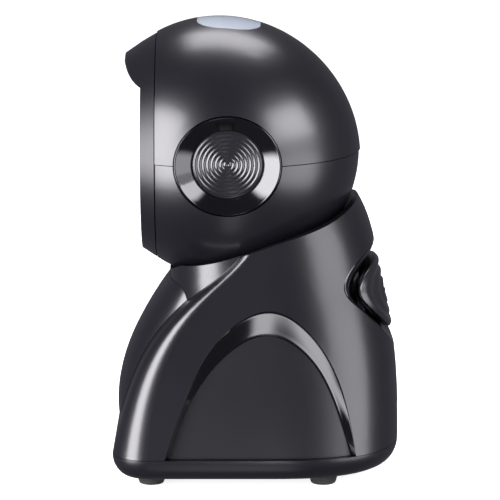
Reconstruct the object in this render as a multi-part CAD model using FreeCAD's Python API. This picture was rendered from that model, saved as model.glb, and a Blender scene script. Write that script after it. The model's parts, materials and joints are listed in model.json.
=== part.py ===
import FreeCAD, Part
import math
import os

# Hands-free presentation scanner: a ball head that tilts in the collar of a
# weighted base, with a rippled push button on the back of the base.
# Millimetres, +Z up, the window faces -Y, origin under the middle of the feet.

os.makedirs("parts", exist_ok=True)
V = FreeCAD.Vector

# ---------------------------------------------------------------- driving dimensions
pivot_y = -9.3              # tilt axis, parallel to X
pivot_z = 107.3
ball_radius = 43.3          # the lower half turns in the collar, so it is a ball
chin_reach = 42.6           # reach of the lower half in front of the axis
crown_radius = 43.8         # height of the upper half over the axis
brow_reach = 44.5           # reach of the upper half in front of the axis
nape_reach = 43.7           # reach of the upper half behind the axis
crown_lean = 0.065          # the upper half leans forward by this much per mm of height
head_wall = 2.2
seam_gap = 0.15             # half of the hairline gap between mating shells

bezel_seam_y = -32.7
bezel_front_y = -37.6
BEZEL_BACK = (36.5, 38.1, 36.0)     # half width, height over and depth under the axis
BEZEL_FRONT = (33.2, 35.4, 33.0)
VISOR_TIP = (29.8, 31.6, 30.0)
VISOR_EDGE = [(-43.1, 137.4), (-42.3, 135.4), (-40.4, 132.6), (-37.6, 130.6)]
window_half_width = 24.0
window_half_height = 23.0
window_glass = 1.8

disc_outer_y = 17.3         # side dish, semi-axes along Y and Z
disc_outer_z = 16.1
disc_inner_y = 11.6
disc_inner_z = 11.0
disc_face_x = 39.9
disc_floor_x = 36.9
ripple_count = 8

cup_gap = 1.1               # ball to collar
cup_wall = 2.4
base_wall = 2.4
seam_z = 10.6               # seam between the base shell and the bottom plate
plate_floor_z = 3.2
foot_height = 3.2
interface_board_z = plate_floor_z + 8.0
interface_top_z = interface_board_z + 1.6
yoke_foot_z = 55.0
yoke_foot_thick = 2.5
plinth_top_z = 18.2         # lower edge of the front cover

button_centre = V(0, 42.6, 59.6)
button_tilt = 10.0          # degrees, the button looks up this much
button_half_width = 23.5
button_half_height = 12.2
dish_half_width = 27.5
dish_half_height = 18.0
rear_oval_lean = 0.35       # the rear oval is wider above its middle
guide_depth = 9.4           # inner face of the guide plate, behind the button
switch_depth = 13.4         # face of the switch board

arm_x = 14.0                # middle of each yoke arm
arm_thick = 3.0
arm_half_width = 4.0
eye_radius = 7.0
pin_radius = 3.0
running_fit = 0.05
tilt_down = 10.0            # degrees
tilt_up = 15.0

tray_z = pivot_z + 8.5      # underside of the optics tray
tray_thick = 2.0
decoder_y = pivot_y + 22.4  # front face of the decoder board
mirror_rail_z = pivot_z - 21.5
status_board_z = pivot_z + 34.0

# Base outline at each height: half width, rearmost Y, Y where the rear curve
# starts, front face Y, front corner radius, fullness of the rear curve.
BASE_STATIONS = [
    (10.6, 41.0, 47.4, 5.0, -47.2, 12.0, 2.5),
    (22.0, 39.7, 47.4, 5.0, -44.4, 10.0, 2.45),
    (34.0, 38.4, 46.8, 5.0, -40.6, 8.5, 2.4),
    (46.0, 37.3, 45.5, 4.5, -34.8, 7.0, 2.35),
    (58.0, 36.5, 43.3, 4.0, -25.4, 5.0, 2.3),
    (70.0, 36.0, 40.7, 3.5, -12.0, 3.2, 2.2),
    (82.0, 36.0, 38.0, 3.0, -2.0, 2.6, 2.15),
    (90.0, 36.2, 34.8, 3.0, -1.0, 2.6, 2.1),
    (98.0, 36.4, 29.0, 3.0, -1.0, 2.6, 2.1),
]
# Front cover at each height: half width and front Y.
COVER_STATIONS = [
    (plinth_top_z, 27.0, -46.0),
    (25.0, 27.0, -46.2),
    (34.0, 27.0, -44.9),
    (44.0, 26.8, -41.6),
    (54.0, 26.2, -36.5),
    (62.0, 25.2, -31.4),
    (67.0, 24.0, -27.6),
]
COVER_BACK_Y = -18.0
NECK = dict(half_width=33.0, front_y=-28.7, back_y=0.0, bottom_z=30.0, top_z=90.0)
# Height of the collar rim from front to back.
RIM_PROFILE = [(-60.0, 70.6), (-28.7, 71.0), (-18.0, 73.0), (-6.0, 76.6),
               (8.0, 81.5), (22.0, 86.0), (29.0, 89.2), (33.0, 91.6), (50.0, 96.0)]


# ---------------------------------------------------------------- helpers
def save(shape, name):
    """Write one node and say what it is."""
    if shape.ShapeType == "Compound" and len(shape.Solids) == 1:
        shape = shape.Solids[0]
    box = shape.BoundBox
    print("%-24s solids %d valid %s volume %9.1f  x %6.1f %6.1f  y %6.1f %6.1f  z %6.1f %6.1f" % (
        name, len(shape.Solids), shape.isValid(), shape.Volume,
        box.XMin, box.XMax, box.YMin, box.YMax, box.ZMin, box.ZMax))
    shape.exportStep("parts/%s.step" % name)


def box(x0, x1, y0, y1, z0, z1):
    return Part.makeBox(x1 - x0, y1 - y0, z1 - z0, V(x0, y0, z0))


def rod(radius, start, end):
    """Round bar between two points."""
    along = end - start
    return Part.makeCylinder(radius, along.Length, start, along)


def tube(outer, inner, start, end):
    return rod(outer, start, end).cut(rod(inner, start, end))


def join(shapes):
    solid = shapes[0]
    for other in shapes[1:]:
        solid = solid.fuse(other)
    return solid.removeSplitter()


def group(shapes):
    return Part.makeCompound(shapes)


def mirrored(shape):
    """The same thing on the other side of the middle plane."""
    return shape.mirror(V(0, 0, 0), V(1, 0, 0))


def face_prism(points, direction):
    """Straight-sided block from a closed outline and a direction."""
    outline = Part.makePolygon(points + [points[0]])
    return Part.Face(outline).extrude(direction)


def about_pivot(y, z):
    """Point on the middle plane, given from the tilt axis."""
    return V(0, pivot_y + y, pivot_z + z)


def half_egg(rear, reach, height, front_y):
    """Half outline turned into an egg: rear and front reach and height from the axis."""
    start = math.acos((pivot_y - front_y) / reach)
    if reach > height:
        brow = Part.Ellipse(about_pivot(-reach, 0), about_pivot(0, height), about_pivot(0, 0))
        front_edge = brow.toShape(start, math.pi / 2)
    else:
        brow = Part.Ellipse(about_pivot(0, height), about_pivot(-reach, 0), about_pivot(0, 0))
        front_edge = brow.toShape(0, math.pi / 2 - start)
    if abs(rear - height) < 1e-6:
        back_edge = Part.Arc(about_pivot(0, height),
                             about_pivot(rear * math.sqrt(0.5), rear * math.sqrt(0.5)),
                             about_pivot(rear, 0)).toShape()
    else:
        nape = Part.Ellipse(about_pivot(0, height), about_pivot(-rear, 0), about_pivot(0, 0))
        back_edge = nape.toShape(-math.pi / 2, 0)
    ends = [front_edge.valueAt(front_edge.FirstParameter),
            front_edge.valueAt(front_edge.LastParameter)]
    rim_point = min(ends, key=lambda point: point.y)
    centre = V(0, front_y, pivot_z)
    edges = [
        Part.LineSegment(centre, rim_point).toShape(),
        front_edge,
        back_edge,
        Part.LineSegment(about_pivot(rear, 0), centre).toShape(),
    ]
    outline = Part.Wire(Part.__sortEdges__(edges))
    return Part.Face(outline).revolve(V(0, pivot_y, pivot_z), V(0, 1, 0), 360)


def lower_form(inset, front_y=bezel_seam_y):
    """Form of the lower half of the head."""
    radius = ball_radius - inset
    return half_egg(radius, chin_reach - inset, radius, front_y)


def upper_form(inset, front_y=bezel_seam_y):
    """Form of the upper half: as wide as the lower, a little taller, leaning forward."""
    form = half_egg(nape_reach - inset, brow_reach - inset, crown_radius - inset, front_y - 4)
    squeeze = FreeCAD.Matrix()
    squeeze.A11 = (ball_radius + 0.1 - inset) / (crown_radius - inset)
    squeeze.A23 = -crown_lean
    squeeze.A24 = crown_lean * pivot_z
    form = form.transformGeometry(squeeze)
    return form.common(box(-60, 60, front_y, 60, pivot_z, pivot_z + 60))


def oval_wire(y, size):
    """Closed curve across Y round the head's axis: half width, height over, depth under."""
    half, over, under = size
    centre = V(0, y, pivot_z)
    arcs = []
    for height in (over, -under):
        if abs(height) > half:
            curve = Part.Ellipse(centre + V(0, 0, height), centre + V(half, 0, 0), centre)
            arcs.append(curve.toShape(-math.pi / 2, math.pi / 2))
        else:
            curve = Part.Ellipse(centre + V(half, 0, 0), centre + V(0, 0, height), centre)
            arcs.append(curve.toShape(0, math.pi))
    return Part.Wire(Part.__sortEdges__(arcs))


def oval_block(stations):
    """Solid through ovals given as (y, size)."""
    return Part.makeLoft([oval_wire(y, size) for y, size in stations], True, True)


def grown(size, amount):
    return tuple(value + amount for value in size)


def ellipse_wire(x, half_y, half_z):
    """Ellipse round the tilt axis, in a plane across it."""
    centre = V(x, pivot_y, pivot_z)
    if half_y >= half_z:
        curve = Part.Ellipse(centre + V(0, half_y, 0), centre + V(0, 0, half_z), centre)
    else:
        curve = Part.Ellipse(centre + V(0, 0, half_z), centre + V(0, half_y, 0), centre)
    return Part.Wire(curve.toShape())


def ellipse_loft(x0, size0, x1, size1):
    return Part.makeLoft([ellipse_wire(x0, *size0), ellipse_wire(x1, *size1)], True, True)


def rounded_plate(half_x, half_z, corner, y0, y1, centre_z=pivot_z):
    """Plate across Y with round corners."""
    plate = box(-half_x, half_x, y0, y1, centre_z - half_z, centre_z + half_z)
    upright = [e for e in plate.Edges
               if abs(e.Vertexes[0].Point.y - e.Vertexes[-1].Point.y) > 1e-6]
    return plate.makeFillet(corner, upright)


def base_section(station, inset):
    """Closed outline of the base at one height, pulled in by inset."""
    z, half, rear, curve_y, front, corner, fullness = station
    half -= inset
    rear -= inset
    front += inset
    corner = max(corner - inset, 0.6)
    steps = 12
    points = []
    for i in range(steps + 1):
        angle = math.pi * i / steps
        cosine = math.cos(angle)
        x = half * math.copysign(abs(cosine) ** (2 / fullness), cosine)
        y = curve_y + (rear - curve_y) * math.sin(angle) ** (2 / fullness)
        points.append(V(x, y, z))
    tail = Part.BSplineCurve()
    tail.interpolate(points, InitialTangent=V(0, 1, 0), FinalTangent=V(0, -1, 0))
    turn = corner * (1 - math.sqrt(0.5))
    edges = [tail.toShape()]
    for side in (-1, 1):
        start = V(side * half, front + corner, z)
        middle = V(side * (half - turn), front + turn, z)
        end = V(side * (half - corner), front, z)
        bend = Part.Arc(start, middle, end).toShape()
        flank = Part.LineSegment(V(side * half, curve_y, z), start).toShape()
        edges += [flank, bend]
    face_line = Part.LineSegment(V(half - corner, front, z), V(corner - half, front, z))
    edges.append(face_line.toShape())
    return Part.Wire(Part.__sortEdges__(edges))


def base_form(inset, floor_z=None):
    """Solid outer form of the base, pulled in by inset."""
    wires = [base_section(station, inset) for station in BASE_STATIONS]
    form = Part.makeLoft(wires, True, False)
    if floor_z is not None:
        form = form.cut(box(-90, 90, -90, 90, -10, floor_z))
    return form


def rounded_bump(half, front_y, back_y, z, power):
    """Closed outline with a straight back and a full, rounded front."""
    depth = back_y - front_y
    steps = 12
    points = []
    for i in range(steps + 1):
        angle = math.pi * i / steps
        cosine = math.cos(angle)
        sine = math.sin(angle)
        x = half * math.copysign(abs(cosine) ** (2 / power), cosine)
        y = back_y - depth * sine ** (2 / power)
        points.append(V(x, y, z))
    curve = Part.BSplineCurve()
    curve.interpolate(points)
    back = Part.LineSegment(points[-1], points[0]).toShape()
    return Part.Wire([curve.toShape(), back])


def neck_form(inset):
    wires = []
    for z in (NECK["bottom_z"], NECK["top_z"]):
        wires.append(rounded_bump(NECK["half_width"] - inset, NECK["front_y"] + inset,
                                  NECK["back_y"], z, 2.6))
    return Part.makeLoft(wires, True, True)


def cover_form(inset):
    wires = []
    for z, half, front in COVER_STATIONS:
        wires.append(rounded_bump(half - inset, front + inset, COVER_BACK_Y, z, 2.4))
    return Part.makeLoft(wires, True, False)


def above_rim():
    """Everything over the collar rim."""
    curve = Part.BSplineCurve()
    curve.interpolate([V(-60, y, z) for y, z in RIM_PROFILE])
    start = V(-60, RIM_PROFILE[0][0], RIM_PROFILE[0][1])
    end = V(-60, RIM_PROFILE[-1][0], RIM_PROFILE[-1][1])
    top_start = V(-60, start.y, 180)
    top_end = V(-60, end.y, 180)
    edges = [
        curve.toShape(),
        Part.LineSegment(end, top_end).toShape(),
        Part.LineSegment(top_end, top_start).toShape(),
        Part.LineSegment(top_start, start).toShape(),
    ]
    return Part.Face(Part.Wire(edges)).extrude(V(120, 0, 0))


def arch_prism(points, side):
    """Arch-shaped block through one side of the base, standing on the seam."""
    curve = Part.BSplineCurve()
    curve.interpolate([V(0, y, z) for y, z in points])
    first = V(0, points[0][0], points[0][1])
    last = V(0, points[-1][0], points[-1][1])
    edges = [curve.toShape(), Part.LineSegment(last, first).toShape()]
    block = Part.Face(Part.Wire(edges)).extrude(V(side * 60, 0, 0))
    block.translate(V(side * 5, 0, 0))
    return block


def button_frame(across, up, out):
    """Point given across, up and out from the middle of the rear button."""
    tilt = math.radians(button_tilt)
    outward = V(0, math.cos(tilt), math.sin(tilt))
    upward = V(0, -math.sin(tilt), math.cos(tilt))
    return button_centre + V(across, 0, 0) + upward * up + outward * out


def in_button_frame(out):
    """Placement of a piece drawn flat, its own Y downwards, at a depth behind the rear button."""
    outward = button_frame(0, 0, 1) - button_frame(0, 0, 0)
    downward = button_frame(0, -1, 0) - button_frame(0, 0, 0)
    return FreeCAD.Placement(button_frame(0, 0, out),
                             FreeCAD.Rotation(V(1, 0, 0), downward, outward, "XZY"))


def rear_oval(half_width, half_height, near_y, far_y):
    """Egg-shaped block through the back of the base, wider above its middle."""
    steps = 16
    points = []
    for i in range(steps):
        angle = 2 * math.pi * i / steps
        swell = 1 + rear_oval_lean * math.sin(angle)
        points.append(V(half_width * math.cos(angle) * swell, near_y,
                        button_centre.z + half_height * math.sin(angle)))
    curve = Part.BSplineCurve()
    curve.interpolate(points, PeriodicFlag=True)
    return Part.Face(Part.Wire(curve.toShape())).extrude(V(0, far_y - near_y, 0))


def pan_screw(head, direction, shank_radius=1.2, length=7.0, head_radius=2.4, head_height=1.6):
    """Pan-head screw with a cross recess; head is the underside of its head."""
    along = V(direction)
    along.normalize()
    screw = rod(shank_radius, head, head + along * length)
    cap = rod(head_radius, head - along * head_height, head)
    solid = screw.fuse(cap)
    size = head_radius * 0.55
    recess_a = Part.makeBox(size * 2, size * 0.5, 0.8, V(-size, -size * 0.25, 0))
    recess_b = Part.makeBox(size * 0.5, size * 2, 0.8, V(-size * 0.25, -size, 0))
    recess = recess_a.fuse(recess_b)
    recess.Placement = FreeCAD.Placement(head - along * head_height,
                                         FreeCAD.Rotation(V(0, 0, 1), along))
    return solid.cut(recess).removeSplitter()


# ---------------------------------------------------------------- head shells
def head_half(form):
    """One half of the ball, with the side dishes cut into it."""
    shell = form(0).cut(form(head_wall, bezel_seam_y - 1))
    low, high = (seam_gap, 60) if form is upper_form else (-60, -seam_gap)
    half = shell.common(box(-60, 60, -60, 60, pivot_z + low, pivot_z + high))
    for side in (-1, 1):
        size = (disc_outer_y + 0.25, disc_outer_z + 0.25)
        half = half.cut(ellipse_loft(side * 30, size, side * 60, size))
    return half


def status_window_block(margin, low, high):
    """Rounded bar over the crown for the status lens."""
    half_x = 14.0 + margin
    front = -19.5 - margin
    back = 1.4 + margin
    corner = 9.0 + margin
    bar = box(-half_x, half_x, front, back, low, high)
    upright = [e for e in bar.Edges
               if abs(e.Vertexes[0].Point.z - e.Vertexes[-1].Point.z) > 1e-6]
    return bar.makeFillet(corner, upright)


def head_upper_shell():
    half = head_half(upper_form)
    half = half.cut(status_window_block(0.15, 120, 160))
    bosses = []
    for x, y in boss_places():
        column = rod(3.2, V(x, y, pivot_z + seam_gap), V(x, y, pivot_z + 42))
        column = column.common(upper_form(head_wall - 0.4))
        bosses.append(column)
    for x, y in light_post_places():
        post = rod(2.2, V(x, y, status_board_z), V(x, y, pivot_z + 42))
        bosses.append(post.common(upper_form(head_wall - 0.4)))
    solid = join([half] + bosses)
    for x, y in boss_places():
        solid = solid.cut(rod(1.2, V(x, y, pivot_z - 1), V(x, y, pivot_z + 8)))
    return solid


def peg_places():
    """Where pegs on the lower head shell locate the upper one."""
    return [(x, pivot_y - 11.8) for x in (-20.5, 20.5)]


def screw_places():
    """Where the two head shells are screwed together, hidden in the collar."""
    return [(x, pivot_y + 13.0) for x in (-20.5, 20.5)]


def boss_places():
    return peg_places() + screw_places()


def light_post_places():
    """Where the status board hangs from the crown, one each side of the lens."""
    return [(x, pivot_y - 0.5) for x in (-16.6, 16.6)]


def chassis_places():
    """Where the optics tray stands on the lower shell."""
    return [(x, pivot_y + y) for x in (-27.0, 27.0) for y in (-8.0, 10.0)]


def mirror_post_places():
    """Where the mirror rail stands on the lower shell."""
    return [(x, pivot_y - 19.2) for x in (-8.0, 8.0)]


def head_lower_shell():
    half = head_half(lower_form)
    for side in (-1, 1):
        reach_front = (ball_radius * math.sin(math.radians(tilt_down)) + arm_half_width + 0.8)
        reach_back = (ball_radius * math.sin(math.radians(tilt_up)) + arm_half_width + 0.8)
        low = side * arm_x - arm_thick / 2 - 0.8
        slot = box(low, low + arm_thick + 1.6, pivot_y - reach_front, pivot_y + reach_back,
                   pivot_z - 50, pivot_z - 20)
        half = half.cut(slot)
    posts = []
    for x, y in boss_places():
        post = rod(3.2, V(x, y, pivot_z - 40), V(x, y, pivot_z - seam_gap))
        posts.append(post.common(lower_form(head_wall - 0.4)))
    for x, y in peg_places():
        posts.append(rod(1.15, V(x, y, pivot_z - 1), V(x, y, pivot_z + 6)))
    for x, y in mirror_post_places():
        post = rod(2.4, V(x, y, pivot_z - 50), V(x, y, mirror_rail_z))
        posts.append(post.common(lower_form(head_wall - 0.4)))
    for x, y in chassis_places():
        post = rod(2.6, V(x, y, pivot_z - 50), V(x, y, tray_z - 14.0))
        posts.append(post.common(lower_form(head_wall - 0.4)))
    solid = join([half] + posts)
    for x, y in screw_places():
        well = rod(2.6, V(x, y, pivot_z - 50), V(x, y, pivot_z - 9.0))
        bore = rod(1.4, V(x, y, pivot_z - 50), V(x, y, pivot_z + 1))
        solid = solid.cut(well).cut(bore)
    return solid


def visor_outline():
    """Side view of the visor: what stands in front of the bezel, over the visor's lower edge."""
    curve = Part.BSplineCurve()
    curve.interpolate([V(-60, y, z) for y, z in VISOR_EDGE])
    tip = V(-60, VISOR_EDGE[0][0], VISOR_EDGE[0][1])
    root = V(-60, VISOR_EDGE[-1][0], VISOR_EDGE[-1][1])
    edges = [
        curve.toShape(),
        Part.LineSegment(root, V(-60, root.y, 160)).toShape(),
        Part.LineSegment(V(-60, root.y, 160), V(-60, tip.y, 160)).toShape(),
        Part.LineSegment(V(-60, tip.y, 160), tip).toShape(),
    ]
    return Part.Face(Part.Wire(edges)).extrude(V(120, 0, 0))


def front_bezel():
    """Tapered rim round the window with the visor over its top."""
    back_y = bezel_seam_y - seam_gap * 2
    tip_y = VISOR_EDGE[0][0]
    rim = oval_block([(back_y, BEZEL_BACK), (bezel_front_y, BEZEL_FRONT)])
    well = oval_block([(back_y + 1, grown(BEZEL_BACK, -head_wall)),
                       (bezel_front_y + 2.6, grown(BEZEL_FRONT, -2.4))])
    ring = rim.cut(well)
    hood = oval_block([(bezel_front_y, BEZEL_FRONT), (tip_y, VISOR_TIP)])
    hollow = oval_block([(bezel_front_y + 0.2, grown(BEZEL_FRONT, -2.0)),
                         (tip_y - 0.2, grown(VISOR_TIP, -1.6))])
    hood = hood.cut(hollow).common(visor_outline())
    solid = join([ring, hood])
    opening = rounded_plate(window_half_width - 1.6, window_half_height - 1.6, 9.4,
                            -60, bezel_seam_y + 2)
    pocket = rounded_plate(window_half_width + 0.15, window_half_height + 0.15, 11.0,
                           bezel_front_y + 0.9, bezel_seam_y + 2)
    solid = solid.cut(opening).cut(pocket)
    return solid


def scan_window():
    return rounded_plate(window_half_width, window_half_height, 10.9,
                         bezel_front_y + 0.9, bezel_front_y + 0.9 + window_glass)


def window_gasket():
    back = bezel_front_y + 0.9 + window_glass
    outer = rounded_plate(window_half_width, window_half_height, 10.9, back, back + 1.4)
    hole = rounded_plate(window_half_width - 2.4, window_half_height - 2.4, 8.6,
                         back - 1, back + 3)
    return outer.cut(hole)


def trim_ring(side):
    """Dished ring round one side disc."""
    outer = (disc_outer_y, disc_outer_z)
    inner = (disc_inner_y + 0.15, disc_inner_z + 0.15)
    body = ellipse_loft(side * (disc_floor_x - 2.2), outer, side * disc_face_x, outer)
    dish = ellipse_loft(side * disc_floor_x, inner, side * (disc_face_x + 0.001),
                        (disc_outer_y - 0.5, disc_outer_z - 0.5))
    bore = ellipse_loft(side * 30, inner, side * 60, inner)
    return body.cut(dish).cut(bore)


def ripple_disc(side):
    """Disc with concentric ridges, set in the trim ring."""
    pitch = disc_inner_y / (ripple_count + 0.5)
    points = [V(disc_floor_x - 2.2, 0, 0)]
    points.append(V(disc_floor_x - 0.6, 0, 0))
    for i in range(ripple_count):
        points.append(V(disc_floor_x - 0.6 + 0.5 * (i == 0), pitch * i, 0))
        points.append(V(disc_floor_x - 0.1, pitch * (i + 0.30), 0))
        points.append(V(disc_floor_x - 0.1, pitch * (i + 0.60), 0))
        points.append(V(disc_floor_x - 0.6, pitch * (i + 0.90), 0))
    points.append(V(disc_floor_x - 0.6, disc_inner_y, 0))
    points.append(V(disc_floor_x - 2.2, disc_inner_y, 0))
    del points[1]
    outline = Part.makePolygon(points + [points[0]])
    disc = Part.Face(outline).revolve(V(0, 0, 0), V(1, 0, 0), 360)
    squeeze = FreeCAD.Matrix()
    squeeze.A33 = disc_inner_z / disc_inner_y
    disc = disc.transformGeometry(squeeze)
    disc.translate(V(0, pivot_y, pivot_z))
    return disc if side > 0 else mirrored(disc)


def status_lens():
    """Clear bar in the crown that shows the status light."""
    skin = upper_form(0.0).cut(upper_form(1.6, bezel_seam_y - 1))
    return skin.common(status_window_block(0.0, 120, 160))


# ---------------------------------------------------------------- optics inside the head
def pivot_brackets():
    """Two ears under the tray that carry the bushes."""
    ears = []
    for side in (-1, 1):
        near = side * 17.2
        far = side * 19.6
        low = min(near, far)
        plate = box(low, low + 2.4, pivot_y - 7, pivot_y + 7, pivot_z - 1, tray_z)
        eye = rod(7.0, V(low, pivot_y, pivot_z), V(low + 2.4, pivot_y, pivot_z))
        foot_low = min(near, side * 24.0)
        foot = box(foot_low, foot_low + 6.8, pivot_y - 7, pivot_y + 7, tray_z - 1.6, tray_z)
        ear = join([plate, eye, foot])
        ears.append(ear.cut(rod(4.5, V(low - 1, pivot_y, pivot_z), V(low + 4, pivot_y, pivot_z))))
    return group(ears)


def pivot_bushes():
    bushes = []
    for side in (-1, 1):
        start = V(side * 17.2, pivot_y, pivot_z)
        end = V(side * 19.6, pivot_y, pivot_z)
        bushes.append(tube(4.5, pin_radius + running_fit, start, end))
    return group(bushes)


def optics_tray():
    """Moulded tray that holds the mirrors, the motor and the laser."""
    plate = box(-28, 28, pivot_y - 16.5, pivot_y + 24, tray_z, tray_z + tray_thick)
    rear_wall = box(-24, 24, pivot_y + 19.6, pivot_y + 21.2, tray_z, tray_z + 13)
    solid = join([plate, rear_wall]).common(upper_form(head_wall + 1.2))
    posts = []
    for x, y in chassis_places():
        posts.append(rod(2.6, V(x, y, tray_z - 14.0), V(x, y, tray_z)))
    for side in (-1, 1):
        near = min(side * 18.3, side * 20.8)
        posts.append(box(near, near + 2.5, pivot_y + 20.6, decoder_y, pivot_z + 2, tray_z))
    solid = join([solid] + posts)
    for x, y in boss_places():
        solid = solid.cut(rod(3.8, V(x, y, tray_z - 1), V(x, y, tray_z + 20)))
    return solid


MOTOR_Y = pivot_y - 2.0


def motor_board():
    z = tray_z + tray_thick
    board = box(-17, 17, MOTOR_Y - 13, MOTOR_Y + 13.5, z, z + 1.2)
    return board.cut(rod(2.2, V(0, MOTOR_Y, z - 1), V(0, MOTOR_Y, z + 2)))


def motor_stator():
    z = tray_z + tray_thick + 1.2
    core = tube(6.5, 2.4, V(0, MOTOR_Y, z), V(0, MOTOR_Y, z + 2.6))
    sleeve = tube(2.4, 1.2 + 0.03, V(0, MOTOR_Y, z), V(0, MOTOR_Y, z + 4.0))
    return join([core, sleeve])


def motor_rotor():
    """Cup and shaft that carry the mirror wheel."""
    z = tray_z + tray_thick + 1.2
    cup = tube(9.0, 7.4, V(0, MOTOR_Y, z + 0.5), V(0, MOTOR_Y, z + 5.4))
    top = rod(9.0, V(0, MOTOR_Y, z + 4.4), V(0, MOTOR_Y, z + 5.8))
    shaft = rod(1.2, V(0, MOTOR_Y, z + 0.2), V(0, MOTOR_Y, z + 13.6))
    return join([cup, top, shaft])


def mirror_wheel():
    """Six-sided spinning mirror."""
    z = tray_z + tray_thick + 7.0
    radius = 11.5
    sides = 6
    points = []
    for i in range(sides):
        angle = 2 * math.pi * i / sides
        points.append(V(radius * math.cos(angle), MOTOR_Y + radius * math.sin(angle), z))
    wheel = face_prism(points, V(0, 0, 6.0))
    return wheel.cut(rod(1.2, V(0, MOTOR_Y, z - 1), V(0, MOTOR_Y, z + 9)))


MIRROR_SWINGS = (-36, -18, 0, 18, 36)       # degrees, the five strips
mirror_lean = 34                            # degrees, their tops lean forward
mirror_reach = 22.5
mirror_thick = 1.2


def fanned(shape, swing):
    """Put a piece made for the middle strip at another strip's place."""
    shape.rotate(V(0, 0, 0), V(0, 0, 1), swing)
    shape.translate(V(0, pivot_y + 2.0, pivot_z - 9))
    return shape


def leaned(shape):
    shape.rotate(V(0, 0, 0), V(1, 0, 0), mirror_lean)
    shape.translate(V(0, -mirror_reach, 0))
    return shape


def pattern_mirrors():
    """Five strips fanned round the front that throw the beam out of the window."""
    strips = []
    for swing in MIRROR_SWINGS:
        strip = Part.makeBox(6.6, mirror_thick, 14.0, V(-3.3, -mirror_thick / 2, -7.0))
        strips.append(fanned(leaned(strip), swing))
    return group(strips)


def mirror_frame():
    """Curved rail under the mirror strips, with a leg behind each of them."""
    centre = V(0, pivot_y + 2.0, mirror_rail_z)
    rail = Part.makeCylinder(24.0, 3.0, centre).cut(Part.makeCylinder(20.5, 3.0, centre))
    rail = rail.common(box(-16.4, 16.4, -40, pivot_y - 13.5, pivot_z - 40, pivot_z))
    pieces = [rail]
    for swing in MIRROR_SWINGS:
        leg = box(-2.0, 2.0, -23.6, -20.8, -12.0, 2.0)
        in_front = leaned(Part.makeBox(12, 50, 80, V(-6, -mirror_thick / 2, -40)))
        pieces.append(fanned(leg.cut(in_front), swing))
    return join(pieces)


def collecting_mirror():
    """Hollow-faced mirror behind the wheel, with a hole for the laser."""
    z = tray_z + tray_thick
    y = pivot_y + 14.2
    block = box(-13, 13, y, y + 5, z, z + 17)
    dish = Part.makeSphere(48, V(0, y - 46.2, z + 9))
    block = block.cut(dish)
    return block.cut(rod(1.5, V(0, y - 2, z + 9), V(0, y + 8, z + 9)))


def laser_holder():
    z = tray_z + tray_thick + 9
    y = pivot_y + 21.4
    block = box(-6, 6, y, y + 8, z - 5.5, z + 5.5)
    return block.cut(rod(3.3, V(0, y - 1, z), V(0, y + 9, z)))


def laser_module():
    z = tray_z + tray_thick + 9
    y = pivot_y + 21.6
    barrel = rod(3.3, V(0, y, z), V(0, y + 9.5, z))
    return barrel.cut(rod(1.0, V(0, y - 1, z), V(0, y + 2, z)))


detector_y = pivot_y - 15.2                 # rear face of the detector board


def detector_board():
    z = tray_z + tray_thick
    return box(-9, 9, pivot_y - 16.4, detector_y, z, z + 13)


def photodiode():
    z = tray_z + tray_thick + 8
    return box(-2.5, 2.5, detector_y, detector_y + 1.0, z - 2.5, z + 2.5)


def decoder_board():
    return box(-21, 21, decoder_y, decoder_y + 1.6, pivot_z - 19, pivot_z + 7.5)


def decoder_chips():
    """Components on the decoder board."""
    face = decoder_y
    parts = [
        box(-9, 5, face - 1.4, face, pivot_z - 12, pivot_z + 2),
        box(9, 17, face - 1.2, face, pivot_z - 8, pivot_z - 2),
        box(-18, -12, face - 2.4, face, pivot_z - 6, pivot_z + 4),
        box(-8, 8, face - 3.2, face, pivot_z - 18, pivot_z - 14.5),
    ]
    return group(parts)


def status_board():
    """Small board with the status lights under the crown lens."""
    z = status_board_z
    board = box(-18.6, 18.6, pivot_y - 7, pivot_y + 4, z - 1.2, z)
    lights = [box(x - 1.5, x + 1.5, pivot_y + y - 1.5, pivot_y + y + 1.5, z, z + 0.9)
              for x in (-4.5, 4.5) for y in (-5.0, 2.0)]
    return board, group(lights)


def head_screws():
    screws = []
    for x, y in screw_places():
        screws.append(pan_screw(V(x, y, pivot_z - 9.0), V(0, 0, 1), 1.2, 15.0, 2.4, 1.6))
    return group(screws)


# ---------------------------------------------------------------- base
ARCH_OUTER = [(-30.0, seam_z), (-25.4, 24.5), (-19.3, 39.0), (-9.8, 52.3), (4.7, 59.3),
              (19.4, 49.3), (27.0, 35.4), (32.6, seam_z)]
ARCH_INNER = [(-28.6, seam_z), (-23.2, 25.4), (-16.8, 36.7), (-8.0, 46.0), (3.4, 51.0),
              (14.4, 46.0), (22.6, 35.0), (31.4, seam_z)]


def base_outer():
    """Neck, legs and body as one form, cut to the rim."""
    return join([base_form(0), neck_form(0)]).cut(above_rim())


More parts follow.
